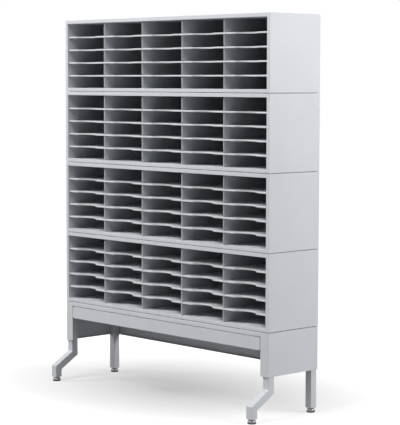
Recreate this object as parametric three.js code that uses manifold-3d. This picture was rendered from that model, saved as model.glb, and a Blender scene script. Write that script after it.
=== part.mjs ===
// A pigeonhole mail sorter: four stacked steel cases of letter pockets on a low base with cranked front legs.
// Millimetres, +Z up, the open front towards -Y, the origin on the floor under the middle of the sorter.
import * as THREE from 'three';
import { mergeVertices } from 'three/addons/utils/BufferGeometryUtils.js';
import Module from 'manifold-3d';

const wasm = await Module();
wasm.setup();

// How many of each
const caseCount = 4;
const columnCount = 5;
const rowCount = 5;

// The clearance between any two pieces that seat on each other
const fit = 0.3;

// Sorter case: a double-skinned sheet case, open at the front, with a back panel set into its rear
const caseWidth = 1524;
const caseDepth = 343;
const caseHeight = 374.5;
const edgeWidth = 19;
const caseSheet = 1;
const caseBend = 3;
const backSetIn = 12;
const backSheet = 1;
const backRim = 10;

// Dividers: hollow sheet blades with a round nose and a rounded top corner
const dividerThickness = 8;
const dividerSheet = 1;
const dividerSetBack = 6;
const dividerCorner = 13;

// Shelves: a row of five is one tier of sheet, slotted from the front to straddle the dividers
const shelfSheet = 1;
const shelfSetBack = 8;
const shelfLip = 10;
const shelfHem = 2;
const shelfEar = 6;
const scoopWidth = 148;
const scoopDepth = 40;
const crossDepth = 170;

// Base: deck pan, end panels, front apron and rear panel
const baseHeight = 420;
const deckSheet = 1.5;
const deckLip = 21;
const panelSheet = 1.5;
const panelHeight = 210;
const panelFlange = 51;
const panelLedge = 30;
const panelLip = 12;
const panelBend = 2.5;
const panelCorner = 8;
const apronHeight = 64;
const railLip = 15;
const railGap = 1.5;
const railCorner = 11;

// Legs: square tube, straight at the rear and cranked forward at the front
const legSize = 38.1;
const legWall = 1.6;
const legCorner = 2;
const legSetBack = 6;
const legBendHeight = 139.5;
const legCrank = 110;
const legCrankDrop = 66.5;
const legEndPlate = 4;

// Levelling glides
const glideHeight = 22;
const padDiameter = 41.3;
const padHeight = 6;
const padChamfer = 1.5;
const socketDepth = 3.5;
const domeDiameter = 40;
const domeCrown = 30;
const domeSkirt = 3.5;
const domeHeight = 11.5;
const hexAcrossFlats = 24;
const spigotDiameter = 12;
const studDiameter = 10;
const studReach = 45;

// Steps in the round forms
const bendSteps = 2;
const noseSteps = 2;
const scoopSteps = 8;
const turnedSteps = 12;

// Sizes that follow from the driving dimensions
const openingWidth = caseWidth - 2 * edgeWidth;
const openingHeight = caseHeight - 2 * edgeWidth;
const backFront = caseDepth - backSetIn - backSheet;
const innerDepth = backFront - fit;
const pocketWidth = (openingWidth - (columnCount - 1) * dividerThickness) / columnCount;
const columnPitch = pocketWidth + dividerThickness;
const rowPitch = openingHeight / rowCount;
const footReach = legCrank - legSetBack + Math.max(padDiameter - legSize, 0) / 2;
const frontY = (footReach - caseDepth) / 2;
const rearY = frontY + caseDepth;
const legX = caseWidth / 2 - panelSheet - fit - legSize / 2;
const frontLegY = frontY + legSetBack + legSize / 2;
const rearLegY = rearY - legSetBack - legSize / 2;
const panelTop = baseHeight - deckSheet - fit;
const railTop = baseHeight - deckLip - railGap;

// A closed outline through corners given as [x, y, radius]: a corner with a radius is rounded by an arc
function outline(corners, steps = bendSteps) {
  const points = [];
  corners.forEach(([x, y, radius = 0], i) => {
    const corner = new THREE.Vector2(x, y);
    if (radius === 0) {
      points.push(corner);
      return;
    }
    const [beforeX, beforeY] = corners.at(i - 1);
    const [afterX, afterY] = corners[(i + 1) % corners.length];
    const toBefore = new THREE.Vector2(beforeX, beforeY).sub(corner).normalize();
    const toAfter = new THREE.Vector2(afterX, afterY).sub(corner).normalize();
    const half = Math.acos(toBefore.dot(toAfter)) / 2;
    const middle = toBefore.clone().add(toAfter).normalize();
    const centre = corner.clone().addScaledVector(middle, radius / Math.sin(half));
    const start = corner.clone().addScaledVector(toBefore, radius / Math.tan(half)).sub(centre);
    const turn = Math.sign(toBefore.cross(toAfter)) * (Math.PI - 2 * half);
    for (let step = 0; step <= steps; step += 1) {
      const spoke = start.clone().rotateAround(new THREE.Vector2(), (-turn * step) / steps);
      points.push(spoke.add(centre));
    }
  });
  return new THREE.Shape(points);
}

function rectangle(width, height, radius = 0) {
  const x = width / 2;
  const y = height / 2;
  return outline([[-x, -y, radius], [x, -y, radius], [x, y, radius], [-x, y, radius]]);
}

// A rectangle with a rectangular hole
function frameShape(width, height, radius, holeWidth, holeHeight) {
  const shape = rectangle(width, height, radius);
  shape.holes.push(rectangle(holeWidth, holeHeight));
  return shape;
}

// An open line moved sideways to its left by a distance, with mitred corners
function offsetLine(line, distance) {
  return line.map((point, i) => {
    const into = i > 0 ? point.clone().sub(line[i - 1]).normalize() : null;
    const onward = i < line.length - 1 ? line[i + 1].clone().sub(point).normalize() : into;
    const first = into ?? onward;
    const side = new THREE.Vector2(-first.y - onward.y, first.x + onward.x);
    return point.clone().addScaledVector(side, distance / (1 + first.dot(onward)));
  });
}

// The section of a folded sheet: its outer line, with the thickness to the left and bends of one radius
function foldedSheet(corners, thickness, bend) {
  const outer = corners.map(([x, y]) => new THREE.Vector2(x, y));
  const inner = offsetLine(outer, thickness);
  const radiusAt = (i, radius) => (i > 0 && i < outer.length - 1 ? radius : 0);
  const outside = outer.map((point, i) => [point.x, point.y, radiusAt(i, bend)]);
  const inside = inner.map((point, i) => [point.x, point.y, radiusAt(i, Math.max(bend - thickness, 0))]);
  return outline([...outside, ...inside.reverse()]);
}

// A closed geometry as a solid for joining and cutting
function solid(geometry) {
  const bare = geometry.clone();
  bare.deleteAttribute('normal');
  bare.deleteAttribute('uv');
  const merged = mergeVertices(bare, 1e-4);
  const mesh = new wasm.Mesh({
    numProp: 3,
    vertProperties: new Float32Array(merged.attributes.position.array),
    triVerts: new Uint32Array(merged.index.array),
  });
  return new wasm.Manifold(mesh);
}

// A solid back as a geometry with flat faces
function faceted(body) {
  const mesh = body.getMesh();
  const geometry = new THREE.BufferGeometry();
  geometry.setAttribute('position', new THREE.BufferAttribute(new Float32Array(mesh.vertProperties), 3));
  geometry.setIndex(new THREE.BufferAttribute(new Uint32Array(mesh.triVerts), 1));
  const flat = geometry.toNonIndexed();
  flat.computeVertexNormals();
  return flat;
}

function block(low, high) {
  const size = high.map((value, i) => value - low[i]);
  const centre = high.map((value, i) => (value + low[i]) / 2);
  return solid(new THREE.BoxGeometry(...size).translate(...centre));
}

// Extrusions of a shape drawn in a plane: upwards in Z, across in X, or backwards in Y
function alongZ(shape, low, high) {
  const geometry = new THREE.ExtrudeGeometry(shape, { depth: high - low, bevelEnabled: false });
  return solid(geometry.translate(0, 0, low));
}

const yzPlane = new THREE.Matrix4().makeBasis(
  new THREE.Vector3(0, 1, 0),
  new THREE.Vector3(0, 0, 1),
  new THREE.Vector3(1, 0, 0),
);

const xzPlane = new THREE.Matrix4().makeBasis(
  new THREE.Vector3(1, 0, 0),
  new THREE.Vector3(0, 0, 1),
  new THREE.Vector3(0, -1, 0),
);

// The long edges of an extrusion across X can be rounded
function alongX(shape, width, round = 0) {
  const geometry = new THREE.ExtrudeGeometry(shape, {
    depth: width - 2 * round,
    bevelEnabled: round > 0,
    bevelThickness: round,
    bevelSize: round,
    bevelOffset: -round,
    bevelSegments: bendSteps,
  });
  return solid(geometry.applyMatrix4(yzPlane).translate(round - width / 2, 0, 0));
}

function alongY(shape, low, high) {
  const geometry = new THREE.ExtrudeGeometry(shape, { depth: high - low, bevelEnabled: false });
  return solid(geometry.applyMatrix4(xzPlane).translate(0, high, 0));
}

// A turned piece: its profile is [radius, height] from the axis at the bottom to the axis at the top
function turned(profile) {
  const points = profile.map(([radius, height]) => new THREE.Vector2(radius, height));
  return solid(new THREE.LatheGeometry(points, turnedSteps).rotateX(Math.PI / 2));
}

// Where the tops of the shelves lie above the middle of the opening
function shelfLevel(row) {
  return row * rowPitch - openingHeight / 2;
}

// The shelves' slots in a divider or in the case's inner skin, open at the rear
function rearSlots(width) {
  const slots = [];
  for (let row = 1; row < rowCount; row += 1) {
    const top = shelfLevel(row);
    slots.push(block(
      [-width / 2, crossDepth - fit, top - shelfSheet - fit],
      [width / 2, caseDepth, top + fit],
    ));
  }
  return wasm.Manifold.union(slots);
}

// The case shell, drawn about the middle of its front face: two skins, joined by the front edge
function caseShell() {
  const bend = Math.min(caseBend, edgeWidth / 2);
  const innerBend = Math.max(bend - caseSheet, 0);
  const skinWidth = openingWidth + 2 * caseSheet;
  const skinHeight = openingHeight + 2 * caseSheet;
  const walls = alongY(frameShape(caseWidth, caseHeight, bend, openingWidth, openingHeight), 0, caseDepth);
  const hollow = alongY(
    frameShape(caseWidth - 2 * caseSheet, caseHeight - 2 * caseSheet, innerBend, skinWidth, skinHeight),
    caseSheet,
    caseDepth + fit,
  );
  const backRoom = alongY(rectangle(skinWidth + fit, skinHeight + fit), innerDepth, caseDepth + fit);
  return walls.subtract(hollow).subtract(backRoom).subtract(rearSlots(skinWidth + fit));
}

// The back panel: a pan whose rim is turned to the rear, inside the case's outer skin
function backPanel() {
  const width = caseWidth - 2 * (caseSheet + fit);
  const height = caseHeight - 2 * (caseSheet + fit);
  const bend = Math.max(caseBend - caseSheet, 0);
  const pan = alongY(rectangle(width, height, bend), backFront, backFront + backSheet + backRim);
  const inside = alongY(
    rectangle(width - 2 * backSheet, height - 2 * backSheet),
    backFront + backSheet,
    caseDepth + backRim,
  );
  return pan.subtract(inside);
}

// A blade, drawn about the middle of the opening: round-nosed in plan, with its top front corner rounded
function blade(thickness, nose, rear, low, high, corner) {
  const half = thickness / 2;
  const plan = outline([[-half, rear], [-half, nose, half], [half, nose, half], [half, rear]], noseSteps);
  const side = outline([[nose, low], [rear, low], [rear, high], [nose, high, corner]]);
  return alongZ(plan, low, high).intersect(alongX(side, 2 * thickness));
}

// A divider: a hollow blade, open at the rear and the bottom, slotted from the rear for the shelves
function divider() {
  const top = openingHeight / 2 - fit;
  const outside = blade(dividerThickness, dividerSetBack, innerDepth, -top, top, dividerCorner);
  const inside = blade(
    dividerThickness - 2 * dividerSheet,
    dividerSetBack + dividerSheet,
    caseDepth,
    -openingHeight,
    top - dividerSheet,
    dividerCorner - dividerSheet,
  );
  return outside.subtract(inside).subtract(rearSlots(2 * dividerThickness));
}

// The front line of one shelf, from its left end to its right, with the finger scoop as an arc
function shelfFront(middle, width) {
  const radius = (scoopWidth ** 2 / 4 + scoopDepth ** 2) / (2 * scoopDepth);
  const swing = Math.asin(scoopWidth / 2 / radius);
  const line = [new THREE.Vector2(middle - width / 2, shelfSetBack)];
  for (let step = 0; step <= scoopSteps; step += 1) {
    const angle = swing * ((2 * step) / scoopSteps - 1);
    const depth = scoopDepth - radius + radius * Math.cos(angle);
    line.push(new THREE.Vector2(middle + radius * Math.sin(angle), shelfSetBack + depth));
  }
  line.push(new THREE.Vector2(middle + width / 2, shelfSetBack));
  return line;
}

// A tier: five shelves joined behind the slots that straddle the dividers. Its ears reach through the
// slots in the case's inner skin, and each shelf has a hemmed lip that follows the scoop.
function shelfTier() {
  const width = pocketWidth - 2 * fit;
  const earX = openingWidth / 2 + caseSheet + shelfEar;
  const beyond = 2 * earX;
  const lipRear = shelfSetBack + shelfHem;
  const sheet = [];
  const behindLip = [];
  for (let column = 0; column < columnCount; column += 1) {
    const front = shelfFront((column - (columnCount - 1) / 2) * columnPitch, width);
    sheet.push(new THREE.Vector2(front[0].x, crossDepth));
    sheet.push(...front);
    sheet.push(new THREE.Vector2(front.at(-1).x, crossDepth));
    behindLip.push(...offsetLine(front, shelfHem).slice(1, -1));
  }
  sheet.push(new THREE.Vector2(earX, crossDepth));
  sheet.push(new THREE.Vector2(earX, innerDepth));
  sheet.push(new THREE.Vector2(-earX, innerDepth));
  sheet.push(new THREE.Vector2(-earX, crossDepth));
  behindLip.push(new THREE.Vector2(beyond, lipRear));
  behindLip.push(new THREE.Vector2(beyond, caseDepth));
  behindLip.push(new THREE.Vector2(-beyond, caseDepth));
  behindLip.push(new THREE.Vector2(-beyond, lipRear));
  const underside = alongZ(new THREE.Shape(behindLip), -2 * shelfLip, -shelfSheet);
  return alongZ(new THREE.Shape(sheet), -shelfLip, 0).subtract(underside);
}

// The deck: a sheet over the whole base, with lips turned down between the end panels' flanges
function deckPan() {
  const lipBottom = baseHeight - deckLip;
  const section = foldedSheet(
    [[rearY, lipBottom], [rearY, baseHeight], [frontY, baseHeight], [frontY, lipBottom]],
    deckSheet,
    panelBend,
  );
  const pan = alongX(section, caseWidth);
  const lipEnd = caseWidth / 2 - panelFlange - fit;
  const underside = baseHeight - deckSheet;
  const ends = [-1, 1].map((side) => block(
    [side > 0 ? lipEnd : -caseWidth, frontY - fit, lipBottom - fit],
    [side > 0 ? caseWidth : -lipEnd, rearY + fit, underside],
  ));
  return pan.subtract(ends[0]).subtract(ends[1]);
}

// An end panel: a web with flanges folded in at the front and rear, their lower corners rounded, and
// a ledge under the deck and a lip along the bottom between the legs
function endPanel(side) {
  const outerX = (side * caseWidth) / 2;
  const flangeX = outerX - side * panelFlange;
  const bottom = baseHeight - panelHeight;
  const corners = [[flangeX, frontY], [outerX, frontY], [outerX, rearY], [flangeX, rearY]];
  const plan = foldedSheet(side > 0 ? corners : corners.reverse(), panelSheet, panelBend);
  const ledgeX = outerX - side * panelLedge;
  const lipX = outerX - side * panelLip;
  const folds = [[lipX, bottom], [outerX, bottom], [outerX, panelTop], [ledgeX, panelTop]];
  const elevation = foldedSheet(side > 0 ? folds : folds.reverse(), panelSheet, 0);
  const betweenLegs = alongY(
    elevation,
    frontLegY + legSize / 2 + fit,
    rearLegY - legSize / 2 - fit,
  );
  const flange = outline([
    [outerX, panelTop],
    [flangeX, panelTop],
    [flangeX, bottom, panelCorner],
    [outerX, bottom],
  ]);
  return alongZ(plan, bottom, panelTop).intersect(alongY(flange, frontY, rearY)).add(betweenLegs);
}

// A rail between the legs: a face with rounded corners in line with the end panels' flanges, and lips
// turned inwards that run on behind the flanges to the legs
function rail(faceY, inward, height) {
  const bottom = railTop - height;
  const lipY = faceY + inward * railLip;
  const corners = [[lipY, railTop], [faceY, railTop], [faceY, bottom], [lipY, bottom]];
  const section = foldedSheet(inward > 0 ? corners : corners.reverse(), panelSheet, panelBend);
  const lipEnd = legX - legSize / 2 - fit;
  const faceEnd = caseWidth / 2 - panelFlange - railGap;
  const around = outline([
    [-lipEnd - fit, bottom - fit],
    [lipEnd + fit, bottom - fit],
    [lipEnd + fit, railTop + fit],
    [-lipEnd - fit, railTop + fit],
  ]);
  around.holes.push(outline([
    [-faceEnd, bottom, railCorner],
    [faceEnd, bottom, railCorner],
    [faceEnd, railTop, railCorner],
    [-faceEnd, railTop, railCorner],
  ]));
  const outside = faceY - inward * fit;
  const behindFlange = faceY + inward * (panelSheet + fit);
  const trim = alongY(around, Math.min(outside, behindFlange), Math.max(outside, behindFlange));
  return alongX(section, 2 * lipEnd).subtract(trim);
}

// A leg of square tube along a centre line in Y and Z, open at the top and closed by a plate at the
// foot, with a hole for the glide's stud
function leg(line) {
  const tube = (centre, size, round) => {
    const rear = offsetLine(centre, size / 2);
    const front = offsetLine(centre, -size / 2);
    return alongX(new THREE.Shape([...front, ...rear.reverse()]), size, round);
  };
  const foot = line.at(-1);
  const boreLine = line.map((point) => point.clone());
  boreLine[0].y += legSize;
  boreLine.at(-1).y += legEndPlate;
  const hole = new THREE.CylinderGeometry(1, 1, 1, turnedSteps).rotateX(Math.PI / 2);
  const holeRadius = studDiameter / 2 + fit;
  hole.scale(holeRadius, holeRadius, 4 * legEndPlate).translate(0, foot.x, foot.y);
  return tube(line, legSize, Math.min(legCorner, legWall))
    .subtract(tube(boreLine, legSize - 2 * legWall, 0))
    .subtract(solid(hole));
}

// A glide's sole pad, with a socket in its top for the stud's spigot
function glidePad() {
  const radius = padDiameter / 2;
  const socket = spigotDiameter / 2 + fit;
  return turned([
    [0, 0],
    [radius - padChamfer, 0],
    [radius, padChamfer],
    [radius, padHeight - padChamfer],
    [radius - padChamfer, padHeight],
    [socket, padHeight],
    [socket, padHeight - socketDepth],
    [0, padHeight - socketDepth],
  ]);
}

// A glide's stud: a spigot in the pad, a dome over it, a hexagon to turn it by and the screw shank
function glideStud() {
  const seat = padHeight + fit;
  const domeTop = seat + domeHeight;
  const hexTop = glideHeight - fit;
  const shank = studDiameter / 2;
  const dome = [];
  for (let step = 0; step <= bendSteps; step += 1) {
    const angle = (step / bendSteps) * (Math.PI / 2);
    const radius = domeCrown / 2 + ((domeDiameter - domeCrown) / 2) * Math.cos(angle);
    dome.push([radius, seat + domeSkirt + (domeHeight - domeSkirt) * Math.sin(angle)]);
  }
  const body = turned([
    [0, seat - socketDepth + fit],
    [spigotDiameter / 2, seat - socketDepth + fit],
    [spigotDiameter / 2, seat],
    [domeDiameter / 2, seat],
    ...dome,
    [shank, domeTop],
    [shank, glideHeight + studReach],
    [0, glideHeight + studReach],
  ]);
  const hexRadius = hexAcrossFlats / Math.sqrt(3);
  const hexagon = new THREE.CylinderGeometry(hexRadius, hexRadius, hexTop - domeTop + domeSkirt, 6);
  hexagon.rotateX(Math.PI / 2).translate(0, 0, (hexTop + domeTop - domeSkirt) / 2);
  return body.add(solid(hexagon));
}

// Finishes: powder coat on the sheet and tube, a paler enamel on the shelves, dark soles, dull steel studs
const finishes = {
  coat: { color: 0xc6c9ce, roughness: 0.45, metalness: 0.0 },
  enamel: { color: 0xd0d3d8, roughness: 0.4, metalness: 0.0 },
  sole: { color: 0x2a2b2e, roughness: 0.7, metalness: 0.0 },
  steel: { color: 0x6f7175, roughness: 0.4, metalness: 1.0 },
};

function piece(name, geometry, finish) {
  const mesh = new THREE.Mesh(geometry, new THREE.MeshStandardMaterial(finishes[finish]));
  mesh.name = name;
  return mesh;
}

// One sorter case with its back, dividers and tiers. The copies share their geometry.
const shellGeometry = faceted(caseShell());
const backGeometry = faceted(backPanel());
const dividerGeometry = faceted(divider());
const tierGeometry = faceted(shelfTier());

function sorterCase(number) {
  const group = new THREE.Group();
  group.add(piece(`case_${number}_shell`, shellGeometry, 'coat'));
  group.add(piece(`case_${number}_back`, backGeometry, 'coat'));
  for (let column = 1; column < columnCount; column += 1) {
    const upright = piece(`case_${number}_divider_${column}`, dividerGeometry, 'coat');
    upright.position.x = (column - columnCount / 2) * columnPitch;
    group.add(upright);
  }
  for (let row = 1; row < rowCount; row += 1) {
    const tier = piece(`case_${number}_shelf_${row}`, tierGeometry, 'enamel');
    tier.position.z = shelfLevel(row);
    group.add(tier);
  }
  return group;
}

// The base: sheet pieces in place, and the same leg and glide at either end
function base() {
  const group = new THREE.Group();
  group.add(piece('base_deck', faceted(deckPan()), 'coat'));
  group.add(piece('base_apron', faceted(rail(frontY, 1, apronHeight)), 'coat'));
  group.add(piece('base_rear_panel', faceted(rail(rearY, -1, railTop - baseHeight + panelHeight)), 'coat'));
  const crankY = frontLegY - legCrank;
  const frontLine = [
    new THREE.Vector2(frontLegY, panelTop),
    new THREE.Vector2(frontLegY, legBendHeight),
    new THREE.Vector2(crankY, legBendHeight - legCrankDrop),
    new THREE.Vector2(crankY, glideHeight),
  ];
  const rearLine = [new THREE.Vector2(rearLegY, panelTop), new THREE.Vector2(rearLegY, glideHeight)];
  const frontLeg = faceted(leg(frontLine));
  const rearLeg = faceted(leg(rearLine));
  const pad = faceted(glidePad());
  const stud = faceted(glideStud());
  for (const [end, side] of [['left', -1], ['right', 1]]) {
    group.add(piece(`end_panel_${end}`, faceted(endPanel(side)), 'coat'));
    for (const [place, geometry, footY] of [['front', frontLeg, crankY], ['rear', rearLeg, rearLegY]]) {
      const upright = piece(`${place}_leg_${end}`, geometry, 'coat');
      upright.position.x = side * legX;
      group.add(upright);
      const sole = piece(`glide_pad_${place}_${end}`, pad, 'sole');
      sole.position.set(side * legX, footY, 0);
      group.add(sole);
      const screw = piece(`glide_stud_${place}_${end}`, stud, 'steel');
      screw.position.set(side * legX, footY, 0);
      group.add(screw);
    }
  }
  return group;
}

const sorter = new THREE.Group();
sorter.add(base());
for (let number = 1; number <= caseCount; number += 1) {
  const stacked = sorterCase(number);
  stacked.position.y = frontY;
  stacked.position.z = baseHeight + number * (caseHeight + fit) - caseHeight / 2;
  sorter.add(stacked);
}

export default sorter;
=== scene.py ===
# %% [markdown]
# # A pigeonhole mail sorter
# Four sheet-steel cases of open pockets stand on a low base with cranked front legs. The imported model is
# a fixed frame: it holds every piece at its real size and place, in metres, with the open front towards
# -Y. This lesson keeps that frame and gives it its looks, so each new piece takes its place from it.

# %% Load the frame
import math

import bmesh
import bpy
from mathutils import Matrix, Vector


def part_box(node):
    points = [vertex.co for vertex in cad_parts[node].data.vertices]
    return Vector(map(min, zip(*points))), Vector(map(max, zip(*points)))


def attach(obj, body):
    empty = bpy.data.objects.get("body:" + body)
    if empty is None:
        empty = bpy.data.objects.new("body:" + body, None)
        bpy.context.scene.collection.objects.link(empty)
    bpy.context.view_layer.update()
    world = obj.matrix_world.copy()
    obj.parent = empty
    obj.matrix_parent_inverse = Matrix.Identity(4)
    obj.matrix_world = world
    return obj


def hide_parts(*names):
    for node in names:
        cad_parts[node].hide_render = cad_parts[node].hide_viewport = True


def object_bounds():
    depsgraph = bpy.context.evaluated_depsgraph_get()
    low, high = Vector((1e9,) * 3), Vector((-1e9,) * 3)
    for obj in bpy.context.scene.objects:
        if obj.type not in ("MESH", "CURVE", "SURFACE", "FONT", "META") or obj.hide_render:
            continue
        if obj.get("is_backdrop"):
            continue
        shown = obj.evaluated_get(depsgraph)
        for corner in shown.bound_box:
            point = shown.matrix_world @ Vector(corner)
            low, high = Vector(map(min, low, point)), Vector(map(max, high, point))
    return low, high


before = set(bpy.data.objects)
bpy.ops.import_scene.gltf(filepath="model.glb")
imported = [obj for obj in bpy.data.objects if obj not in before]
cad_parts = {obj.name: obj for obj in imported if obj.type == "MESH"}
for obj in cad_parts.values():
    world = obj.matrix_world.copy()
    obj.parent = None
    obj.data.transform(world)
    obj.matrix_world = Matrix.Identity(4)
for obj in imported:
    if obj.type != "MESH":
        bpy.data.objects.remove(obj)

cad_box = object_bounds()
bpy.ops.object.select_all(action="DESELECT")

# %% [markdown]
# ## The camera
# The picture was taken from the right of the sorter, at eye level, with a long lens. Its place can be
# guessed and nudged, or worked out from the edges that show. Here the seams between the cases and the
# corners of the stack were fitted, which gives a camera with no shift, so the same lens serves for every
# other view.

# %% Place the camera
PICTURE_HEIGHT = 425
FOCAL_LENGTH_PIXELS = 1617.8
CAMERA_PLACE = Vector((6.0525, -5.4784, 1.6008))
CAMERA_YAW = math.radians(47.072)
CAMERA_PITCH = math.radians(-4.642)
CAMERA_ROLL = math.radians(0.130)

bpy.ops.object.camera_add()
camera = bpy.context.object
level = Matrix.Rotation(CAMERA_YAW, 4, "Z") @ Matrix.Rotation(math.pi / 2 + CAMERA_PITCH, 4, "X")
camera.matrix_world = Matrix.Translation(CAMERA_PLACE) @ level @ Matrix.Rotation(CAMERA_ROLL, 4, "Z")
camera.data.lens = FOCAL_LENGTH_PIXELS / PICTURE_HEIGHT * camera.data.sensor_width
bpy.context.scene.camera = camera
bpy.context.scene.view_settings.view_transform = "Standard"
print(f"camera at {CAMERA_PLACE[:]}, lens {camera.data.lens:.1f} mm")

# %% [markdown]
# ## Studio light
# The plain side of the stack is its brightest part, the front edges come next, and the pockets are deep.
# So one softbox stands to the right and a little behind, where it reaches the side and the back but no
# pocket. The front is lit from high up, because steep light stops a hand's width inside the low pockets.
# Two more lamps, far off at the left and high at the right, even out the curved lips of the shelves.

# %% Hang the softboxes
AIM = Vector((0, 0, 1.0))


def softbox(name, place, size, watts):
    """A square lamp that faces the middle of the sorter."""
    bpy.ops.object.light_add(type="AREA", location=place)
    lamp = bpy.context.object
    lamp.name = name
    lamp.rotation_euler = (AIM - Vector(place)).to_track_quat("-Z", "Y").to_euler()
    lamp.data.shape = "SQUARE"
    lamp.data.size = size
    lamp.data.energy = watts
    print(f"{name}: {size} m square, {watts} W")


softbox("side_softbox", place=(4.0, 2.2, 2.8), size=2.4, watts=180)
softbox("high_front_softbox", place=(0.0, -4.0, 6.5), size=3.0, watts=340)
softbox("far_left_softbox", place=(-6.0, -5.0, 4.5), size=3.0, watts=320)
softbox("high_right_softbox", place=(3.5, -2.0, 6.5), size=3.0, watts=90)

# %% [markdown]
# ## White surroundings
# The background is plain white. Turning the lamps up until everything clips would spoil the sorter's own
# greys, so the world and the floor are only bright for rays that come straight from the camera, or by a
# reflection. All other rays meet a dark world and a plain floor. The floor keeps the sorter's real shadow,
# and its glow is weaker in an oval under the base. That is a painted soft shadow, where a broad light from
# all round would be shut out.

# %% Set up the world
WHITE = (1, 1, 1, 1)
AMBIENT_LEVEL = 0.02


def seen_rays(nodes, links):
    """A factor that is 1 for camera, glossy and transmission rays, and 0 for the rest."""
    path = nodes.new("ShaderNodeLightPath")
    either = nodes.new("ShaderNodeMath")
    either.operation = "MAXIMUM"
    links.new(path.outputs["Is Camera Ray"], either.inputs[0])
    links.new(path.outputs["Is Glossy Ray"], either.inputs[1])
    any_seen = nodes.new("ShaderNodeMath")
    any_seen.operation = "MAXIMUM"
    links.new(either.outputs[0], any_seen.inputs[0])
    links.new(path.outputs["Is Transmission Ray"], any_seen.inputs[1])
    return any_seen.outputs[0]


world = bpy.data.worlds.new("white_surround")
world.use_nodes = True
bpy.context.scene.world = world
nodes, links = world.node_tree.nodes, world.node_tree.links
dim = nodes["Background"]
dim.inputs["Color"].default_value = WHITE
dim.inputs["Strength"].default_value = AMBIENT_LEVEL
white = nodes.new("ShaderNodeBackground")
white.inputs["Color"].default_value = WHITE
choice = nodes.new("ShaderNodeMixShader")
links.new(seen_rays(nodes, links), choice.inputs["Fac"])
links.new(dim.outputs[0], choice.inputs[1])
links.new(white.outputs[0], choice.inputs[2])
links.new(choice.outputs[0], nodes["World Output"].inputs["Surface"])
print(f"ambient level {AMBIENT_LEVEL}")

# %% Lay the floor
FLOOR_SIZE = 60
FLOOR_GREY = 0.30
# Painted shadow: the glow falls to GLOW_UNDER in an oval round GLOW_CENTRE and rises to GLOW_AROUND.
GLOW_UNDER = 0.32
GLOW_AROUND = 1.0
GLOW_CENTRE = Vector((-0.15, 0.07, 0))
GLOW_REACH = Vector((1.8, 1.15, 1))

bpy.ops.mesh.primitive_plane_add(size=FLOOR_SIZE, location=(0, 0, cad_box[0].z))
floor = bpy.context.object
floor.name = "studio_floor"
floor_paint = bpy.data.materials.new("studio_floor")
floor_paint.use_nodes = True
nodes, links = floor_paint.node_tree.nodes, floor_paint.node_tree.links
nodes.remove(nodes["Principled BSDF"])
plain = nodes.new("ShaderNodeBsdfDiffuse")
plain.inputs["Color"].default_value = (FLOOR_GREY, FLOOR_GREY, FLOOR_GREY, 1)
glow = nodes.new("ShaderNodeEmission")
coordinates = nodes.new("ShaderNodeTexCoord")
# The oval gives the shape of the painted soft shadow under the base.
oval = nodes.new("ShaderNodeMapping")
oval.inputs["Scale"].default_value = [1 / reach for reach in GLOW_REACH]
oval.inputs["Location"].default_value = [-shift / reach for shift, reach in zip(GLOW_CENTRE, GLOW_REACH)]
distance = nodes.new("ShaderNodeVectorMath")
distance.operation = "LENGTH"
fade = nodes.new("ShaderNodeMapRange")
fade.inputs["To Min"].default_value = GLOW_UNDER
fade.inputs["To Max"].default_value = GLOW_AROUND
links.new(coordinates.outputs["Object"], oval.inputs["Vector"])
links.new(oval.outputs["Vector"], distance.inputs[0])
links.new(distance.outputs["Value"], fade.inputs["Value"])
links.new(fade.outputs["Result"], glow.inputs["Strength"])
bright = nodes.new("ShaderNodeAddShader")
links.new(plain.outputs[0], bright.inputs[0])
links.new(glow.outputs[0], bright.inputs[1])
choice = nodes.new("ShaderNodeMixShader")
links.new(seen_rays(nodes, links), choice.inputs["Fac"])
links.new(plain.outputs[0], choice.inputs[1])
links.new(bright.outputs[0], choice.inputs[2])
links.new(choice.outputs[0], nodes["Material Output"].inputs["Surface"])
floor.data.materials.append(floor_paint)
floor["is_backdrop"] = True
print(f"floor at z = {cad_box[0].z:.4f} m")

# %% [markdown]
# ## Powder coat and enamel
# The sheet and tube are powder coated: a satin, faintly cool grey with a fine orange-peel skin that only
# shows close up, and a slow drift in tone where the coat lies thicker. The shelves have a paler, smoother
# enamel. One recipe serves both: a broad noise tints the colour, a middling one moves the roughness, and a
# fine one is the skin's bump. All three read Object coordinates, which are metres here.

# %% Mix the coats
NOISE_LOW = 0.3
NOISE_HIGH = 0.7
DRIFT_SCALE = 4.0
DRIFT_DETAIL = 3
SHEEN_SCALE = 60.0
SHEEN_DETAIL = 4
PEEL_SCALE = 750.0
PEEL_DETAIL = 2
PEEL_STRENGTH = 0.35
PEEL_HEIGHT = 0.00006
COAT_SPECULAR = 0.4


def noise(nodes, links, coordinates, scale, detail):
    """A noise value, mostly between NOISE_LOW and NOISE_HIGH."""
    texture = nodes.new("ShaderNodeTexNoise")
    texture.inputs["Scale"].default_value = scale
    texture.inputs["Detail"].default_value = detail
    links.new(coordinates, texture.inputs["Vector"])
    return texture.outputs["Fac"]


def span(nodes, links, value, low, high):
    """A noise value spread over a narrow range."""
    spread = nodes.new("ShaderNodeMapRange")
    spread.inputs["From Min"].default_value = NOISE_LOW
    spread.inputs["From Max"].default_value = NOISE_HIGH
    spread.inputs["To Min"].default_value = low
    spread.inputs["To Max"].default_value = high
    links.new(value, spread.inputs["Value"])
    return spread.outputs["Result"]


def tint(nodes, links, value, dark, light):
    """A noise value as a colour between two near tones."""
    ramp = nodes.new("ShaderNodeValToRGB")
    ramp.color_ramp.elements[0].position = NOISE_LOW
    ramp.color_ramp.elements[1].position = NOISE_HIGH
    ramp.color_ramp.elements[0].color = (*dark, 1)
    ramp.color_ramp.elements[1].color = (*light, 1)
    links.new(value, ramp.inputs["Fac"])
    return ramp.outputs["Color"]


def bump(nodes, links, value, strength, height):
    """A noise value as a fine relief, with its height in metres."""
    relief = nodes.new("ShaderNodeBump")
    relief.inputs["Strength"].default_value = strength
    relief.inputs["Distance"].default_value = height
    links.new(value, relief.inputs["Height"])
    return relief.outputs["Normal"]


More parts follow.
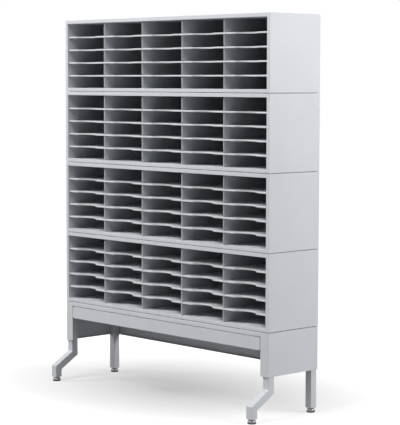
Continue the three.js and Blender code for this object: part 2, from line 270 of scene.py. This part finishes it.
def blank_finish(name):
    """A new material with the parts that every finish here needs."""
    finish = bpy.data.materials.new(name)
    finish.use_nodes = True
    nodes, links = finish.node_tree.nodes, finish.node_tree.links
    coordinates = nodes.new("ShaderNodeTexCoord").outputs["Object"]
    return finish, nodes, links, nodes["Principled BSDF"], coordinates


def satin_coat(name, dark, light, satin, matt):
    """A coat of two near tones, whose roughness lies between satin and matt."""
    finish, nodes, links, shader, coordinates = blank_finish(name)
    drift = noise(nodes, links, coordinates, DRIFT_SCALE, DRIFT_DETAIL)
    links.new(tint(nodes, links, drift, dark, light), shader.inputs["Base Color"])
    sheen = noise(nodes, links, coordinates, SHEEN_SCALE, SHEEN_DETAIL)
    links.new(span(nodes, links, sheen, satin, matt), shader.inputs["Roughness"])
    peel = noise(nodes, links, coordinates, PEEL_SCALE, PEEL_DETAIL)
    links.new(bump(nodes, links, peel, PEEL_STRENGTH, PEEL_HEIGHT), shader.inputs["Normal"])
    shader.inputs["Specular IOR Level"].default_value = COAT_SPECULAR
    return finish


grey_coat = satin_coat(
    "satin_grey_coat", dark=(0.568, 0.586, 0.617), light=(0.598, 0.616, 0.647), satin=0.40, matt=0.50
)
shelf_enamel = satin_coat(
    "pale_shelf_enamel", dark=(0.578, 0.594, 0.620), light=(0.608, 0.624, 0.650), satin=0.34, matt=0.42
)
print("coats:", grey_coat.name, shelf_enamel.name)

# %% [markdown]
# ## Soles and studs
# Each foot stands on a moulded dark sole under a dull steel stud. The sole is matt with a fine grain. The
# stud was turned, so its marks run round it: a noise stretched flat in X and Y and packed tight in Z makes
# rings on any upright round piece, wherever that piece stands.

# %% Mix the sole and the steel
SOLE_DARK = (0.018, 0.018, 0.020)
SOLE_LIGHT = (0.032, 0.032, 0.035)
SOLE_ROUGHNESS = (0.62, 0.75)
GRAIN_SCALE = 900.0
GRAIN_DETAIL = 3
GRAIN_STRENGTH = 0.4
GRAIN_HEIGHT = 0.0001
STEEL_DARK = (0.17, 0.173, 0.178)
STEEL_LIGHT = (0.27, 0.274, 0.282)
STEEL_ROUGHNESS = (0.26, 0.40)
RING_SCALE = (8, 8, 2500)
RING_DETAIL = 2
RING_STRENGTH = 0.3
RING_HEIGHT = 0.00003


def moulded_sole():
    """A matt dark sole with a fine grain."""
    finish, nodes, links, shader, coordinates = blank_finish("moulded_sole")
    grain = noise(nodes, links, coordinates, GRAIN_SCALE, GRAIN_DETAIL)
    links.new(tint(nodes, links, grain, SOLE_DARK, SOLE_LIGHT), shader.inputs["Base Color"])
    links.new(span(nodes, links, grain, *SOLE_ROUGHNESS), shader.inputs["Roughness"])
    links.new(bump(nodes, links, grain, GRAIN_STRENGTH, GRAIN_HEIGHT), shader.inputs["Normal"])
    return finish


def turned_steel():
    """Dull steel with turning marks that run round it."""
    finish, nodes, links, shader, coordinates = blank_finish("turned_steel")
    rings = nodes.new("ShaderNodeMapping")
    rings.inputs["Scale"].default_value = RING_SCALE
    links.new(coordinates, rings.inputs["Vector"])
    marks = noise(nodes, links, rings.outputs["Vector"], 1, RING_DETAIL)
    links.new(tint(nodes, links, marks, STEEL_DARK, STEEL_LIGHT), shader.inputs["Base Color"])
    links.new(span(nodes, links, marks, *STEEL_ROUGHNESS), shader.inputs["Roughness"])
    links.new(bump(nodes, links, marks, RING_STRENGTH, RING_HEIGHT), shader.inputs["Normal"])
    shader.inputs["Metallic"].default_value = 1.0
    return finish


glide_sole = moulded_sole()
glide_steel = turned_steel()
print("glide finishes:", glide_sole.name, glide_steel.name)

# %% [markdown]
# ## Tools for modelling by hand
# Each piece starts as a primitive and is shaped in edit mode. Operators act on what is selected, so one
# small tool picks vertices, edges or faces by a test on their place or normal. Others start a block, draw
# a selection out and apply a modifier. The shading tool gives the normals of large flat faces most weight,
# so that they stay flat. The last two copy a piece, and dress it: a name, a coat, the body that it rides on
# and the frame's own piece that it stands for.

# %% Make the tools that pick and shape
# Places closer than NEAR count as one. A face looks along an axis if FACING of its normal lies that way.
NEAR = 1e-5
FACING = 0.5


def pick(kind, wanted):
    """In edit mode, selects the vertices, edges or faces that pass a test, and nothing else."""
    bpy.ops.mesh.select_mode(type=kind)
    bpy.ops.mesh.select_all(action="DESELECT")
    mesh = bmesh.from_edit_mesh(bpy.context.object.data)
    parts = {"VERT": mesh.verts, "EDGE": mesh.edges, "FACE": mesh.faces}[kind]
    for part in parts:
        if wanted(part):
            part.select_set(True)
    mesh.select_flush_mode()
    bmesh.update_edit_mesh(bpy.context.object.data)


def near(a, b):
    """Whether two measures count as one."""
    return abs(a - b) < NEAR


def lies_at(edge, axis, place):
    """Whether both ends of an edge are at one place along an axis: 0 for X, 1 for Y, 2 for Z."""
    return all(near(vertex.co[axis], place) for vertex in edge.verts)


def middle(part):
    """The middle of an edge or a face."""
    points = [vertex.co for vertex in part.verts]
    return sum(points, Vector()) / len(points)


def extrude(x=0, y=0, z=0):
    """Draws the selection out along the axes."""
    bpy.ops.mesh.extrude_region_move(TRANSFORM_OT_translate={"value": (x, y, z)})


def block(low, high):
    """A box between two corners, left in edit mode, with its place in its mesh."""
    bpy.ops.object.select_all(action="DESELECT")
    bpy.ops.mesh.primitive_cube_add(size=1, location=(low + high) / 2, scale=high - low)
    bpy.ops.object.transform_apply(location=True, rotation=True, scale=True)
    bpy.ops.object.mode_set(mode="EDIT")
    return bpy.context.object


print("tools: pick, near, lies_at, middle, extrude, block")

# %% Make the tools that finish a piece
SMOOTH_ANGLE = 40


def apply_modifier(piece, kind, **settings):
    """Adds a modifier to the active piece and applies it."""
    modifier = piece.modifiers.new(kind.lower(), kind)
    for setting, value in settings.items():
        setattr(modifier, setting, value)
    bpy.ops.object.modifier_apply(modifier=modifier.name)


def round_edges(piece, radius, steps, degrees=SMOOTH_ANGLE):
    """Rounds every edge that bends by more than an angle."""
    limit = math.radians(degrees)
    apply_modifier(piece, "BEVEL", width=radius, segments=steps, limit_method="ANGLE", angle_limit=limit)


def thicken(piece, sheet):
    """Gives a bent face the thickness of its sheet, on the inner side."""
    apply_modifier(piece, "SOLIDIFY", thickness=sheet, offset=-1, use_even_offset=True)


def shade(piece, degrees=SMOOTH_ANGLE):
    """Smooth shading up to an angle, with the flat faces kept flat."""
    bpy.ops.object.mode_set(mode="OBJECT")
    bpy.ops.object.shade_smooth_by_angle(angle=math.radians(degrees))
    apply_modifier(piece, "WEIGHTED_NORMAL", keep_sharp=True)


def copy_of(piece, shift):
    """A copy with its own mesh, moved in that mesh."""
    twin = piece.copy()
    twin.data = piece.data.copy()
    twin.data.transform(Matrix.Translation(shift))
    bpy.context.collection.objects.link(twin)
    return twin


def dress(piece, name, body, finish, node):
    """Names a finished piece, coats it and sets it on its body in place of a node of the frame."""
    piece.name = name
    piece.data.name = name
    piece.data.materials.clear()
    piece.data.materials.append(finish)
    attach(piece, body)
    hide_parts(node)


print("tools: apply_modifier, round_edges, thicken, shade, copy_of, dress")

# %% [markdown]
# ## The cases
# A case is a double-skinned steel box: the front edge is folded sheet, 19 mm wide, so its rims are softly
# rounded and catch the light. A box with its front face inset and pushed in to the back panel makes the
# opening, and the rear is opened the same way, but leaves only a thin skin round the back panel. A thin
# dark joint shows where one case stands on the next. Paint would stay dark in any light, so the joint is
# modelled: the lower edge of the walls is raised a little, and a low plinth, set back from them, carries
# the case. All four cases are alike, so one is modelled and copied up the stack.

# %% Model one case
EDGE_WIDTH = 0.019
CASE_SKIN = 0.001
FOLD_RADIUS = 0.0015
FOLD_STEPS = 3
PLINTH_HEIGHT = 0.0021
PLINTH_SETBACK = 0.012

case_low, case_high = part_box("case_1_shell")
back_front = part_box("case_1_back")[0].y
case_count = sum(name.endswith("_shell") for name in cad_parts)
case_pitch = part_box("case_2_shell")[0].z - case_low.z

case = block(case_low, case_high)
pick("FACE", lambda face: face.normal.y < -FACING)
bpy.ops.mesh.inset(thickness=EDGE_WIDTH)
extrude(y=back_front - case_low.y)
pick("FACE", lambda face: face.normal.y > FACING and near(middle(face).y, case_high.y))
bpy.ops.mesh.inset(thickness=CASE_SKIN)
extrude(y=back_front - case_high.y)
pick("FACE", lambda face: abs(face.normal.y) > FACING and near(middle(face).y, back_front))
bpy.ops.mesh.delete(type="FACE")
pick("EDGE", lambda edge: edge.is_boundary)
bpy.ops.mesh.bridge_edge_loops()

wall_foot = case_low.z + PLINTH_HEIGHT
pick("VERT", lambda vertex: near(vertex.co.z, case_low.z))
bpy.ops.transform.translate(value=(0, 0, PLINTH_HEIGHT))
pick("FACE", lambda face: face.normal.z < -FACING and near(middle(face).z, wall_foot))
bpy.ops.mesh.inset(thickness=PLINTH_SETBACK)
extrude(z=-PLINTH_HEIGHT)


def on_fold(edge):
    """The rim of the opening, the outer front edges, and the long edges from front to rear."""
    inside = all(abs(vertex.co.x) < case_high.x - EDGE_WIDTH / 2 for vertex in edge.verts)
    at_side = lies_at(edge, 0, case_low.x) or lies_at(edge, 0, case_high.x)
    at_end = lies_at(edge, 2, wall_foot) or lies_at(edge, 2, case_high.z)
    at_front = lies_at(edge, 1, case_low.y)
    on_rim = at_front and inside
    return on_rim or at_side + at_end + at_front == 2


pick("EDGE", on_fold)
bpy.ops.mesh.bevel(offset=FOLD_RADIUS, segments=FOLD_STEPS, affect="EDGES")
shade(case)
print(f"case: {len(case.data.polygons)} faces")

# %% Stack the cases
for number in range(1, case_count + 1):
    stacked = case if number == 1 else copy_of(case, (0, 0, (number - 1) * case_pitch))
    dress(stacked, f"case_{number}_folded_body", "frame", grey_coat, f"case_{number}_shell")
print(f"cases: {case_count}, {1000 * case_pitch:.1f} mm apart")

# %% [markdown]
# ## The dividers
# A divider is one sheet folded back on itself, so its front edge is a round nose, and its upper front
# corner is rounded off where it meets the case. It is slimmer at the front than at the rear. A tall block
# is narrowed at the front and its corner is bevelled. Then the two long edges of the front are bevelled
# until they nearly meet, which gives the nose.

# %% Model one divider and set the rest
CORNER_RADIUS = 0.013
CORNER_STEPS = 8
NOSE_TAPER = 0.5
NOSE_SHARE = 0.49
NOSE_STEPS = 8
# The least part of a normal that points sideways on a side, and forward on the front or the corner.
SIDEWAYS = 0.9
FORWARD = 0.05

divider_low, divider_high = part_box("case_1_divider_1")
divider_thickness = divider_high.x - divider_low.x
column_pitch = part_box("case_1_divider_2")[0].x - divider_low.x
divider_count = sum(name.startswith("case_1_divider_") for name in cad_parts)
nose_thickness = divider_thickness * NOSE_TAPER

divider = block(divider_low, divider_high)
divider_middle = (divider_low + divider_high) / 2
pick("FACE", lambda face: face.normal.y < -FACING)
bpy.ops.transform.resize(value=(NOSE_TAPER, 1, 1), center_override=divider_middle)
pick("EDGE", lambda edge: lies_at(edge, 1, divider_low.y) and lies_at(edge, 2, divider_high.z))
bpy.ops.mesh.bevel(offset=CORNER_RADIUS, segments=CORNER_STEPS, affect="EDGES")


def on_nose(edge):
    """The edges between a side and the front, round the corner too."""
    normals = [face.normal for face in edge.link_faces]
    meets_side = any(abs(normal.x) > SIDEWAYS for normal in normals)
    meets_front = any(normal.y < -FORWARD for normal in normals)
    return meets_side and meets_front


pick("EDGE", on_nose)
bpy.ops.mesh.bevel(offset=nose_thickness * NOSE_SHARE, segments=NOSE_STEPS, affect="EDGES")
shade(divider)

for number in range(1, case_count + 1):
    for column in range(1, divider_count + 1):
        first = number == 1 and column == 1
        shift = ((column - 1) * column_pitch, 0, (number - 1) * case_pitch)
        upright = divider if first else copy_of(divider, shift)
        node = f"case_{number}_divider_{column}"
        dress(upright, f"case_{number}_upright_{column}", "frame", grey_coat, node)
print(f"dividers: {case_count * divider_count}, {1000 * nose_thickness:.1f} mm thick at the nose")

# %% [markdown]
# ## The shelves
# Each tier is five shelves of one sheet. A shelf's front has a finger scoop and a rolled lip that follows
# it. A boolean could cut the scoop, but the lip would be hard to roll after that. So the work goes the way
# a sheet is formed: a circle is cut at the front line, its ends run out to the sides, and that one line is
# drawn down for the lip, back under it for the hem, and back along the shelf. The sides follow the
# dividers, which are slimmer towards the front, and the outer two are trimmed at the case. A bevel rolls
# both folds and Solidify gives the sheet its thickness.

# %% Draw the front line of one shelf
SCOOP_WIDTH = 0.148
SCOOP_DEPTH = 0.040
SCOOP_STEPS = 96
SCOOP_CORNER = 0.008
SCOOP_CORNER_STEPS = 6
CHORD_ERROR = 0.0001
CLEARANCE = 0.0003
CROSSING_DEPTH = 0.170

shelf_low, shelf_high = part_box("case_1_shelf_1")
shelf_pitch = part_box("case_1_shelf_2")[0].z - shelf_low.z
tier_count = sum(name.startswith("case_1_shelf_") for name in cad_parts)
column_count = divider_count + 1
first_column = -column_pitch * divider_count / 2
scoop_radius = (SCOOP_WIDTH**2 / 4 + SCOOP_DEPTH**2) / (2 * SCOOP_DEPTH)
crossing = case_low.y + CROSSING_DEPTH


def width_between(depth):
    """The width of a shelf between two dividers, which are slimmer towards the front."""
    share = (depth - divider_low.y) / (divider_high.y - divider_low.y)
    thickness = divider_thickness * (NOSE_TAPER + (1 - NOSE_TAPER) * share)
    return column_pitch - thickness - 2 * CLEARANCE


def at_scoop_end(vertex):
    """Whether a point is an end of the scoop. The straight steps of its circle end a little short."""
    return abs(abs(vertex.co.x - first_column) - SCOOP_WIDTH / 2) < CHORD_ERROR


front_width = width_between(shelf_low.y)
bpy.ops.object.select_all(action="DESELECT")
scoop_centre = (first_column, shelf_low.y + SCOOP_DEPTH - scoop_radius, shelf_high.z)
bpy.ops.mesh.primitive_circle_add(vertices=SCOOP_STEPS, radius=scoop_radius, location=scoop_centre)
bpy.ops.object.transform_apply(location=True, rotation=True, scale=True)
tier = bpy.context.object
bpy.ops.object.mode_set(mode="EDIT")
bpy.ops.mesh.select_all(action="SELECT")
bpy.ops.mesh.bisect(plane_co=(0, shelf_low.y, 0), plane_no=(0, -1, 0), clear_outer=True)
run_out = (front_width - SCOOP_WIDTH) / 2
for side in (-1, 1):
    pick("VERT", lambda vertex: at_scoop_end(vertex) and (vertex.co.x - first_column) * side > 0)
    extrude(x=side * run_out)
pick("VERT", at_scoop_end)
bpy.ops.mesh.bevel(offset=SCOOP_CORNER, segments=SCOOP_CORNER_STEPS, affect="VERTICES")
print(f"front line: {len(bmesh.from_edit_mesh(tier.data).verts)} points")

# %% Form the sheet
LIP_HEIGHT = 0.0085
HEM_DEPTH = 0.005

bpy.ops.mesh.select_all(action="SELECT")
extrude(z=-LIP_HEIGHT)
extrude(y=HEM_DEPTH)
pick("EDGE", lambda edge: lies_at(edge, 2, shelf_high.z))
extrude(y=HEM_DEPTH)
narrowing = width_between(crossing) / front_width
bpy.ops.transform.resize(value=(narrowing, 0, 1), center_override=(first_column, crossing, 0))
extrude(y=shelf_high.y - crossing)
bpy.ops.object.mode_set(mode="OBJECT")
apply_modifier(
    tier,
    "ARRAY",
    count=column_count,
    use_relative_offset=False,
    use_constant_offset=True,
    constant_offset_displace=(column_pitch, 0, 0),
)
bpy.ops.object.mode_set(mode="EDIT")
wall = column_count * column_pitch / 2 - divider_thickness / 2 - CLEARANCE
for side in (-1, 1):
    bpy.ops.mesh.select_all(action="SELECT")
    bpy.ops.mesh.bisect(plane_co=(side * wall, 0, 0), plane_no=(side, 0, 0), clear_outer=True)
print(f"row of {column_count} shelves, {2000 * wall:.1f} mm wide")

# %% Link the shelves behind the dividers
ROLL_RADIUS = 0.003
ROLL_STEPS = 4
ROLL_ANGLE = 60
SHELF_SHEET = 0.001


def beside_gap(edge, gap_middle):
    """The free side edges of two neighbouring shelves, behind the crossing."""
    beside = abs(middle(edge).x - gap_middle) < divider_thickness
    return beside and middle(edge).y > crossing + NEAR and lies_at(edge, 0, edge.verts[0].co.x)


for gap in range(divider_count):
    gap_middle = first_column + (gap + 0.5) * column_pitch
    pick("EDGE", lambda edge: beside_gap(edge, gap_middle))
    bpy.ops.mesh.edge_face_add()
bpy.ops.mesh.select_all(action="SELECT")
bpy.ops.mesh.normals_make_consistent(inside=False)
largest = max(bmesh.from_edit_mesh(tier.data).faces, key=lambda face: face.calc_area())
if largest.normal.z < 0:
    bpy.ops.mesh.flip_normals()
bpy.ops.object.mode_set(mode="OBJECT")
round_edges(tier, ROLL_RADIUS, ROLL_STEPS, ROLL_ANGLE)
thicken(tier, SHELF_SHEET)
shade(tier)

for number in range(1, case_count + 1):
    for row in range(1, tier_count + 1):
        first = number == 1 and row == 1
        shift = (0, 0, (number - 1) * case_pitch + (row - 1) * shelf_pitch)
        shelf = tier if first else copy_of(tier, shift)
        dress(shelf, f"case_{number}_tier_{row}", "frame", shelf_enamel, f"case_{number}_shelf_{row}")
print(f"tiers: {case_count * tier_count} of {len(tier.data.polygons)} faces")

# %% [markdown]
# ## The folded sheets of the base
# The back panels, the deck and the end panels have the right shape in the frame already, with their bends.
# They keep their meshes and only get the coat. The apron and the rear panel hang between the end flanges.
# Round the apron a dark joint shows, so it is folded afresh with a little more air and sharper bends. The
# rear panel goes close up to its neighbours, or the bright backdrop would shine in past it. Both are the
# outer faces of a box with rounded corners: a face and two lips, which are drawn out to the legs behind the
# flanges. A bevel makes the bends and Solidify gives the sheet its thickness.

# %% Coat the sheets that stay
base_sheets = ["base_deck", "end_panel_left", "end_panel_right"]
sheet_nodes = base_sheets + [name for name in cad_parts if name.endswith("_back")]
for name in sheet_nodes:
    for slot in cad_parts[name].material_slots:
        slot.material = grey_coat
print("coated:", ", ".join(sheet_nodes))

# %% Fold the apron and the rear panel
PANEL_SHEET = 0.0015
PANEL_BEND = 0.001
BEND_STEPS = 3
APRON_JOINT = 0.003
APRON_CORNER = 0.011
REAR_CORNER = 0.002
PANEL_CORNER_STEPS = 6
# A face whose normal leans this far sideways is an end of the block or part of a rounded corner.
LEANING = 0.01

flange_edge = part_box("end_panel_right")[0].x
deck_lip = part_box("base_deck")[0].z


def folded_panel(node, inward, joint, corner):
    """A panel with a lip above and below. Its lips point inward, which is +1 or -1 along Y."""
    low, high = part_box(node)
    half_width = flange_edge - joint
    panel = block(Vector((-half_width, low.y, low.z)), Vector((half_width, high.y, deck_lip - joint)))
    pick("EDGE", lambda edge: not near(edge.verts[0].co.y, edge.verts[1].co.y))
    bpy.ops.mesh.bevel(offset=corner, segments=PANEL_CORNER_STEPS, affect="EDGES")
    pick("FACE", lambda face: abs(face.normal.x) > LEANING or face.normal.y * inward > FACING)
    bpy.ops.mesh.delete(type="FACE")
    face_y = low.y if inward > 0 else high.y
    behind_flange = face_y + inward * 2 * (PANEL_SHEET + PANEL_BEND)
    bpy.ops.mesh.select_all(action="SELECT")
    bpy.ops.mesh.bisect(plane_co=(0, behind_flange, 0), plane_no=(0, 1, 0))
    lip_end = half_width - corner

    def is_behind(edge):
        """Whether an edge lies behind the end flanges."""
        return (middle(edge).y - behind_flange) * inward > NEAR

    for side in (-1, 1):
        pick("EDGE", lambda edge: lies_at(edge, 0, side * lip_end) and is_behind(edge))
        extrude(x=side * (high.x - lip_end))
    bpy.ops.object.mode_set(mode="OBJECT")
    round_edges(panel, PANEL_BEND, BEND_STEPS)
    bpy.ops.object.mode_set(mode="EDIT")
    bpy.ops.mesh.select_all(action="SELECT")
    bpy.ops.mesh.dissolve_degenerate(threshold=NEAR)
    bpy.ops.object.mode_set(mode="OBJECT")
    thicken(panel, PANEL_SHEET)
    shade(panel)
    print(f"{node}: {len(panel.data.polygons)} faces, {2000 * half_width:.1f} mm wide")
    return panel


apron = folded_panel("base_apron", inward=1, joint=APRON_JOINT, corner=APRON_CORNER)
dress(apron, "folded_apron", "frame", grey_coat, "base_apron")
rear_panel = folded_panel("base_rear_panel", inward=-1, joint=CLEARANCE, corner=REAR_CORNER)
dress(rear_panel, "folded_rear_panel", "frame", grey_coat, "base_rear_panel")

# %% [markdown]
# ## The legs
# The legs are square tube. A front leg runs straight down inside the base, is cranked forward between two
# mitres, and ends upright again over its foot. A square face is drawn along that path: pushed down, its
# rear edge lowered and its front edge raised to the mitre, pushed along the crank, pushed down again and
# levelled. The tube's corners are rounded by a bevel.

# %% Model the legs
TUBE_CORNER = 0.0028
TUBE_STEPS = 4
BEND_HEIGHT = 0.1395
CRANK_REACH = 0.110
CRANK_DROP = 0.0665

tube_low, tube_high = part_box("rear_leg_left")
tube_half = (tube_high.x - tube_low.x) / 2


def tube_top(low, high, centre_y):
    """The square top face of a leg in its box, left selected in edit mode."""
    bpy.ops.object.select_all(action="DESELECT")
    centre = ((low.x + high.x) / 2, centre_y, high.z)
    bpy.ops.mesh.primitive_plane_add(size=2 * tube_half, location=centre)
    bpy.ops.object.transform_apply(location=True, rotation=True, scale=True)
    bpy.ops.object.mode_set(mode="EDIT")
    bpy.ops.mesh.select_all(action="SELECT")
    return bpy.context.object


def close_tube(leg):
    """Closes the tube's top, rounds its corners and shades it."""
    pick("EDGE", lambda edge: edge.is_boundary)
    bpy.ops.mesh.edge_face_add()
    bpy.ops.mesh.select_all(action="SELECT")
    bpy.ops.mesh.normals_make_consistent(inside=False)
    bpy.ops.object.mode_set(mode="OBJECT")
    round_edges(leg, TUBE_CORNER, TUBE_STEPS)
    shade(leg)


def front_leg(node):
    """A leg that is cranked forward, from its top down to its level foot."""
    low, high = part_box(node)
    leg_y = high.y - tube_half
    leg = tube_top(low, high, leg_y)
    extrude(z=BEND_HEIGHT - high.z)
    half_turn = math.atan2(CRANK_REACH, CRANK_DROP) / 2
    mitre = tube_half * math.tan(half_turn)
    for side in (-1, 1):
        pick("VERT", lambda v: near(v.co.z, BEND_HEIGHT) and (v.co.y - leg_y) * side > 0)
        bpy.ops.transform.translate(value=(0, 0, -side * mitre))
    pick("FACE", lambda face: all(v.co.z < high.z - NEAR for v in face.verts))
    extrude(y=-CRANK_REACH, z=-CRANK_DROP)
    extrude(z=low.z - BEND_HEIGHT + CRANK_DROP)
    bpy.ops.transform.resize(value=(1, 1, 0), center_override=(0, 0, low.z))
    close_tube(leg)
    return leg


def rear_leg(node):
    """A straight leg."""
    low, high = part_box(node)
    leg = tube_top(low, high, (low.y + high.y) / 2)
    extrude(z=low.z - high.z)
    close_tube(leg)
    return leg


for end in ("left", "right"):
    dress(front_leg(f"front_leg_{end}"), f"front_tube_{end}", "frame", grey_coat, f"front_leg_{end}")
    dress(rear_leg(f"rear_leg_{end}"), f"rear_tube_{end}", "frame", grey_coat, f"rear_leg_{end}")
print(f"legs: tube {2000 * tube_half:.1f} mm square")

# %% [markdown]
# ## The levelling glides
# A glide is a moulded sole and a steel stud that screws into the leg: a pressed dome over the sole, a
# hexagon for a spanner and a threaded shank. The sole is a cylinder with its edges rounded. The dome starts
# as a cylinder too, and its top face is drawn up and in by rings. The thread is a real helix: the Screw
# modifier sweeps a small V round the axis, a pitch for each turn. Its two ends are closed, out of sight in
# the hexagon and in the tip.

# %% Model one sole
ROUND_STEPS = 48
SOLE_EDGE = 0.0015
SOLE_EDGE_STEPS = 4

sole_low, sole_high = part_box("glide_pad_front_left")
glide_axis = (sole_low + sole_high) / 2


def disc(radius, low, high, steps=ROUND_STEPS):
    """An upright cylinder on the glide's axis, left in edit mode."""
    bpy.ops.object.select_all(action="DESELECT")
    place = (glide_axis.x, glide_axis.y, (low + high) / 2)
    bpy.ops.mesh.primitive_cylinder_add(vertices=steps, radius=radius, depth=high - low, location=place)
    bpy.ops.object.transform_apply(location=True, rotation=True, scale=True)
    bpy.ops.object.mode_set(mode="EDIT")
    return bpy.context.object


sole_radius = (sole_high.x - sole_low.x) / 2
sole = disc(sole_radius, sole_low.z, sole_high.z)
pick("EDGE", lambda edge: near(edge.verts[0].co.z, edge.verts[1].co.z))
bpy.ops.mesh.bevel(offset=SOLE_EDGE, segments=SOLE_EDGE_STEPS, affect="EDGES")
shade(sole)
print(f"sole: {2000 * sole_radius:.0f} mm across, {1000 * (sole_high.z - sole_low.z):.0f} mm thick")

# %% Model one stud
DOME_RADIUS = 0.020
CROWN_RADIUS = 0.015
DOME_SKIRT = 0.0035
DOME_HEIGHT = 0.0115
DOME_STEPS = 6
HEX_SIDES = 6
HEX_FLATS = 0.024
HEX_CHAMFER = 0.0008
HEX_ANGLE = 25
CHAMFER_STEPS = 2
THREAD_RADIUS = 0.005
THREAD_DEPTH = 0.0009
THREAD_PITCH = 0.0015

stud_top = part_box("glide_stud_front_left")[1].z
dome_seat = sole_high.z + CLEARANCE
dome_top = dome_seat + DOME_HEIGHT
hex_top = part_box("front_leg_left")[0].z - CLEARANCE
dome = disc(DOME_RADIUS, dome_seat, dome_seat + DOME_SKIRT)
pick("FACE", lambda face: face.normal.z > FACING)
dome_rise = DOME_HEIGHT - DOME_SKIRT
dome_span = DOME_RADIUS - CROWN_RADIUS
radius = DOME_RADIUS
for step in range(1, DOME_STEPS + 1):
    angle = math.pi / 2 * step / DOME_STEPS
    before = math.pi / 2 * (step - 1) / DOME_STEPS
    ring = DOME_RADIUS - dome_span * (1 - math.cos(angle))
    extrude(z=dome_rise * (math.sin(angle) - math.sin(before)))
    bpy.ops.transform.resize(value=(ring / radius, ring / radius, 1), center_override=glide_axis)
    radius = ring
shade(dome)

hexagon = disc(HEX_FLATS / math.sqrt(3), dome_top - DOME_SKIRT, hex_top, HEX_SIDES)
pick("EDGE", lambda edge: lies_at(edge, 2, hex_top))
bpy.ops.mesh.bevel(offset=HEX_CHAMFER, segments=CHAMFER_STEPS, affect="EDGES")
shade(hexagon, HEX_ANGLE)

tip = disc(THREAD_RADIUS - THREAD_DEPTH / 2, stud_top - 2 * THREAD_PITCH, stud_top)
pick("EDGE", lambda edge: lies_at(edge, 2, stud_top))
bpy.ops.mesh.bevel(offset=THREAD_DEPTH, segments=CHAMFER_STEPS, affect="EDGES")
shade(tip)
print(f"dome {1000 * DOME_HEIGHT:.1f} mm high, hexagon up to {1000 * hex_top:.1f} mm")

# %% Cut the thread
THREAD_STEPS = 32
THREAD_ANGLE = 30

thread_low = hex_top - 2 * THREAD_PITCH
turns = int((stud_top - THREAD_PITCH - thread_low) / THREAD_PITCH)
bpy.ops.object.select_all(action="DESELECT")
bpy.ops.mesh.primitive_grid_add(x_subdivisions=1, y_subdivisions=2, size=THREAD_PITCH)
thread = bpy.context.object
bpy.ops.object.mode_set(mode="EDIT")
pick("VERT", lambda v: v.co.x > 0)
bpy.ops.mesh.delete(type="VERT")
bpy.ops.mesh.select_all(action="SELECT")
bpy.ops.transform.rotate(value=-math.pi / 2, orient_axis="X", center_override=(0, 0, 0))
pick("VERT", lambda v: near(v.co.z, 0))
bpy.ops.transform.translate(value=(THREAD_DEPTH, 0, 0))
bpy.ops.mesh.select_all(action="SELECT")
inner_edge = -THREAD_PITCH / 2
bpy.ops.transform.translate(value=(THREAD_RADIUS - THREAD_DEPTH - inner_edge, 0, THREAD_PITCH / 2))
bpy.ops.object.mode_set(mode="OBJECT")
apply_modifier(
    thread,
    "SCREW",
    axis="Z",
    steps=THREAD_STEPS,
    render_steps=THREAD_STEPS,
    iterations=turns,
    screw_offset=THREAD_PITCH,
    use_merge_vertices=True,
)
thread.location = (glide_axis.x, glide_axis.y, thread_low)
bpy.ops.object.transform_apply(location=True, rotation=True, scale=True)
bpy.ops.object.mode_set(mode="EDIT")
bpy.ops.mesh.select_all(action="SELECT")
bpy.ops.mesh.remove_doubles(threshold=NEAR)
bpy.ops.mesh.fill_holes(sides=0)
bpy.ops.mesh.normals_make_consistent(inside=False)
shade(thread, THREAD_ANGLE)

bpy.ops.object.select_all(action="DESELECT")
for part in (hexagon, tip, thread, dome):
    part.select_set(True)
bpy.context.view_layer.objects.active = dome
bpy.ops.object.join()
stud = bpy.context.object
print(f"stud: {turns} turns of thread, {len(stud.data.polygons)} faces")

# %% Set the glides under the legs
for place in ("front", "rear"):
    for end in ("left", "right"):
        corner = f"{place}_{end}"
        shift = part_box(f"glide_pad_{corner}")[0] - sole_low
        at_first = corner == "front_left"
        foot = sole if at_first else copy_of(sole, shift)
        dress(foot, f"moulded_sole_{corner}", f"pad_{corner}", glide_sole, f"glide_pad_{corner}")
        screw = stud if at_first else copy_of(stud, shift)
        dress(screw, f"turned_stud_{corner}", f"stud_{corner}", glide_steel, f"glide_stud_{corner}")
        print(f"{corner}: moved by {[round(1000 * step, 1) for step in shift]} mm")

# %% [markdown]
# ## Size and finish
# The looks must not change the size, so the box of the frame and the box of the dressed sorter are
# measured, and the change between them is printed.

# %% Print the change in size
visual_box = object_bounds()
change = (visual_box[1] - visual_box[0]) - (cad_box[1] - cad_box[0])
print("size change in mm:", [round(1000 * side, 2) for side in change])
